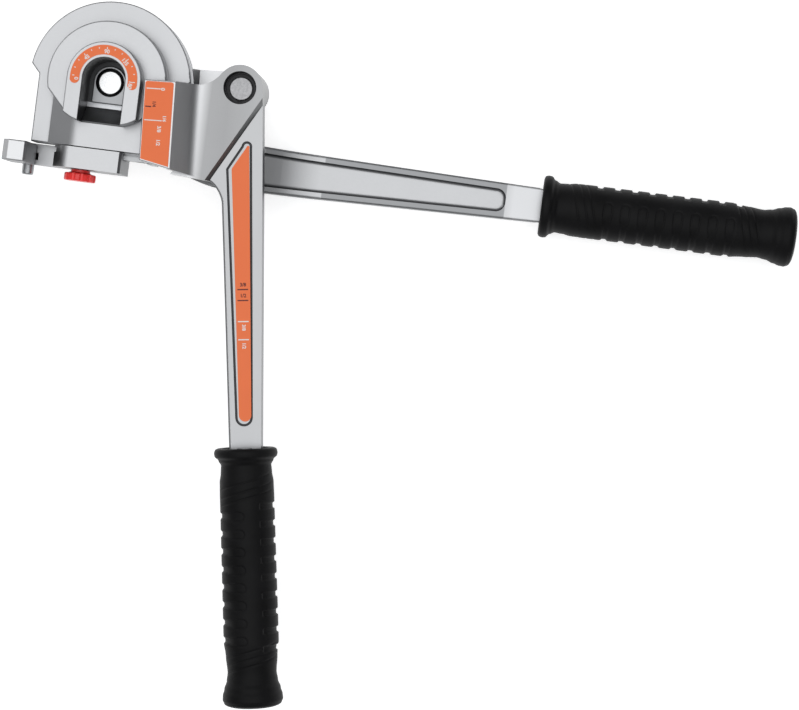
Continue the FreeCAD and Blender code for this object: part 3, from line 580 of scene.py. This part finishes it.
def ridge(distance, width):
    """1 on a line, easing to 0 at its edge."""
    share = max(0.0, 1.0 - abs(distance) / width)
    return share * share * (3 - 2 * share)


def step_up(value, start, end):
    """0 up to start, easing to 1 at end."""
    share = min(1.0, max(0.0, (value - start) / (end - start)))
    return share * share * (3 - 2 * share)


def finger_cut(s, u):
    """Depth of the moulded finger slots: long ones from the left, short ones on the right."""
    index = round((s - FINGER_FIRST) / FINGER_PITCH)
    index = min(FINGER_COUNT - 1, max(0, index))
    offset = s - FINGER_FIRST - index * FINGER_PITCH
    half = FINGER_HALF - 1.0 * step_up(-u, 8, 20)
    reach = max(0.0, u + 3.6)
    distance = math.hypot(offset, reach)
    edge = FINGER_EDGE * ridge(distance - half, 0.75)
    floor = (0.10 + 0.95 * step_up(-u, 6, 19)) * (1 - step_up(distance, half - 0.5, half + 0.3))
    return max(edge, floor)


def notch_cut(s, u):
    """Depth of the square notches along one side, between the finger slots."""
    first = FINGER_FIRST - 0.54 * FINGER_PITCH
    index = min(FINGER_COUNT, max(0, round((s - first) / FINGER_PITCH)))
    offset = abs(s - first - index * FINGER_PITCH)
    across = 1 - step_up(offset, 1.3, 2.2)
    along = step_up(u, 9.2, 10.4)
    return NOTCH_DEPTH * across * along


def spiral_cut(s, u):
    """Depth of the slanted lines at both ends of the grip."""
    depth = 0.0
    for line in SPIRALS:
        fade = 1 - step_up(abs(u), 15, 24)
        depth = max(depth, SPIRAL_DEPTH * fade * ridge(s - line + SPIRAL_SLANT * u, 0.85))
    return depth


def grip_surface(s, angle):
    """Radius at s along the grip and angle round it; the pattern repeats mirrored on the back."""
    radius = eased(GRIP_PROFILE, s)
    u = PATTERN_RADIUS * math.atan2(math.sin(angle), abs(math.cos(angle)))
    return radius - max(finger_cut(s, u), notch_cut(s, u), spiral_cut(s, u))


def grip(name, node, place, roll, body, material):
    """A hollow moulded grip made of rings, from inside its open end to the closed one."""
    rings = []
    s = GRIP_PROFILE[0][0]
    stations = []
    while s < GRIP_PROFILE[-1][0]:
        stations.append(s)
        s += GRIP_STEP if PATTERN_FROM < s < PATTERN_TO else PLAIN_STEP
    stations.append(GRIP_PROFILE[-1][0])
    angles = [2 * math.pi * k / GRIP_ROUND for k in range(GRIP_ROUND)]
    for s, radius in GRIP_INSIDE:
        rings.append([(s, radius, angle) for angle in angles])
    for s in stations:
        rings.append([(s, grip_surface(s, angle - roll), angle) for angle in angles])
    end = GRIP_PROFILE[-1][0]
    for share in END_RINGS:
        rings.append([(end, GRIP_PROFILE[-1][1] * share, angle) for angle in angles])
    verts = []
    for ring in rings:
        for s, radius, angle in ring:
            local = Vector((radius * math.sin(angle), -s, radius * math.cos(angle))) * MM
            verts.append(place @ local)
    verts.append(place @ (Vector((0, -GRIP_INSIDE[0][0], 0)) * MM))
    verts.append(place @ (Vector((0, -end, 0)) * MM))
    faces = []
    count = GRIP_ROUND
    for row in range(len(rings) - 1):
        for k in range(count):
            after = (k + 1) % count
            here, above = row * count, (row + 1) * count
            faces.append((here + k, here + after, above + after, above + k))
    last = (len(rings) - 1) * count
    for k in range(count):
        after = (k + 1) % count
        faces.append((after, k, len(verts) - 2))
        faces.append((last + k, last + after, len(verts) - 1))
    mesh = bpy.data.meshes.new(name)
    mesh.from_pydata(verts, [], faces)
    piece = piece_from(name, mesh, material, body, smooth=True)
    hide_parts(node)
    return piece


def make_grips(material):
    low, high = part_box("fixed_grip")
    middle = (low + high) / 2
    fixed = Matrix.Translation((low.x, middle.y, middle.z)) @ Matrix.Rotation(math.pi / 2, 4, "Z")
    grip("fixed_grip_rubber", "fixed_grip", fixed, math.radians(FIXED_GRIP_ROLL), "frame", material)
    low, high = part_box("forming_grip")
    start = Vector((GRIP_START[0] * MM, GRIP_START[1] * MM, (low.z + high.z) / 2))
    forming = HANDLE @ Matrix.Translation(start) @ Matrix.Rotation(math.radians(GRIP_LEAN), 4, "Z")
    grip("forming_grip_rubber", "forming_grip", forming, 0.0, "forming_handle", material)


# ------------------------------------------------------------------ surroundings
def floor():
    level = CAD_BOX[0].z
    bm = bmesh.new()
    turns = ((-1, -1), (1, -1), (1, 1), (-1, 1))
    bm.faces.new([bm.verts.new((x * FLOOR_HALF, y * FLOOR_HALF, level)) for x, y in turns])
    mesh = mesh_from(bm, "floor")
    material, _, shader = new_material("floor_paper")
    shader.inputs["Base Color"].default_value = (0.88, 0.88, 0.88, 1)
    shader.inputs["Roughness"].default_value = 0.9
    shader.inputs["Specular IOR Level"].default_value = 0.1
    shader.inputs["Emission Color"].default_value = (1, 1, 1, 1)
    shader.inputs["Emission Strength"].default_value = FLOOR_GLOW
    mesh.materials.append(material)
    piece = bpy.data.objects.new("floor", mesh)
    bpy.context.scene.collection.objects.link(piece)


def lamp(name, at, aim, size, energy):
    data = bpy.data.lights.new(name, "AREA")
    data.shape = "RECTANGLE"
    data.size, data.size_y = size
    data.energy = energy
    holder = bpy.data.objects.new(name, data)
    holder.location = at
    holder.rotation_mode = "QUATERNION"
    holder.rotation_quaternion = (Vector(aim) - Vector(at)).to_track_quat("-Z", "Y")
    bpy.context.scene.collection.objects.link(holder)


def lights():
    lamp("softbox", (0.1, 0.0, 2.3), (0.15, -0.1, 0.0), (2.6, 2.6), 26)
    lamp("side_box", (-1.7, 0.9, 1.2), (0.1, -0.1, 0.0), (0.6, 1.2), 3.5)
    world = bpy.data.worlds.new("studio")
    world.use_nodes = True
    tree = world.node_tree
    place = add(tree, "ShaderNodeTexCoord")
    parts = add(tree, "ShaderNodeSeparateXYZ")
    tree.links.new(place.outputs["Generated"], parts.inputs["Vector"])
    sky = ramp(tree, parts.outputs["Z"], [(0.0, (0.10, 0.10, 0.105)), (0.45, (0.16, 0.16, 0.165)),
                                         (0.95, (0.60, 0.61, 0.62))])
    tree.links.new(sky, tree.nodes["Background"].inputs["Color"])
    bpy.context.scene.world = world


def camera():
    data = bpy.data.cameras.new("camera")
    data.lens = CAMERA_LENS
    data.sensor_width = 36
    data.clip_start = 0.05
    data.clip_end = 20
    back = (CAMERA_AT - CAMERA_AIM).normalized()
    roll = math.radians(CAMERA_ROLL)
    up = Vector((-math.sin(roll), math.cos(roll), 0))
    up = (up - back * up.dot(back)).normalized()
    right = up.cross(back)
    turn = Matrix((right, up, back)).transposed()
    holder = bpy.data.objects.new("camera", data)
    holder.matrix_world = Matrix.Translation(CAMERA_AT) @ turn.to_4x4()
    bpy.context.scene.collection.objects.link(holder)
    bpy.context.scene.camera = holder


# ------------------------------------------------------------------ the object
def build():
    # painted shade: every casting is darker on its walls and in its corners; the former, bar and fixed
    # handle also in listed recesses, the shoe and fixed handle along X
    casting = cast_aluminium("cast_aluminium", PALE, WALL_SHADE)
    former = cast_aluminium("former_casting", PALE, WALL_SHADE, [WELL_SIDES_SHADE, WELL_RAMP_SHADE, WELL_PAD_SHADE, PIN_BORE_SHADE])
    bar = cast_aluminium("bar_casting", BAR_FLAT, WALL_SHADE, [LABEL_GROOVE_SHADE])
    shoe = cast_aluminium("shoe_casting", BRIGHT_LIT_COPY, SHOE_WALL_SHADE, along=SHOE_SHADE_ALONG)
    # painted light: the link arm and hook jaw take the lighter copy of the casting
    lit_copy_casting = cast_aluminium("link_casting", BRIGHT_LIT_COPY, WALL_SHADE)
    handle = cast_aluminium("fixed_casting", PALE, WALL_SHADE, [WEB_FLOOR_SHADE], HANDLE_SHADE_ALONG)
    steel = turned_steel("bright_steel", (0.70, 0.705, 0.71), 0.26, (0, 0))
    rubber = black_rubber("black_rubber")
    border = printed_film("label_border", LABEL_WHITE)
    orange = printed_film("label_orange", ORANGE)
    white = printed_film("print_white", PRINT_WHITE)
    dark = printed_film("print_dark", PRINT_DARK)
    dress_cad([
        (former, ["former", "former_step", "former_land"]),
        (shoe, ["bending_shoe", "shoe_arm", "shoe_boss"]),
        (bar, ["forming_handle"]),
        (handle, ["fixed_handle", "handle_web"]),
        (lit_copy_casting, ["link_arm", "hook_jaw"]),
        (casting, ["hook_carriage"]),
        (steel, ["pivot_pin", "pivot_washer"]),
        (turned_steel("handle_pin_steel", (0.40, 0.40, 0.41), 0.34, (BOSS.x, BOSS.y), 0.30), ["handle_pin"]),
        (turned_steel("ground_steel", (0.42, 0.43, 0.44), 0.36), ["hook_rail", "hinge_pin", "lock_screw"]),
        (blackened("blackened_steel"), ["handle_bolts", "pivot_ring", "handle_washer", "handle_circlip",
                                        "shoe_screws", "rail_screws"]),
        (bronze("bronze"), ["pivot_bush", "handle_bush", "pressure_pad"]),
        (red_plastic("red_plastic"), ["lock_knob"]),
        (rubber, ["fixed_grip", "forming_grip"]),
        (border, ["degree_label", "shoe_label", "handle_label"]),
    ])
    make_grips(rubber)
    level = label_films("degree_label", "frame", DEGREE_BORDER * MM, border, orange)
    degree_marks(level, white)
    level = label_films("shoe_label", "forming_handle", LONG_BORDER * MM, border, orange)
    shoe_marks(level, white, dark)
    level = label_films("handle_label", "forming_handle", LONG_BORDER * MM, border, orange)
    handle_marks(level, white, dark)


bpy.context.scene.view_settings.view_transform = "Standard"
build()
floor()
lights()
camera()
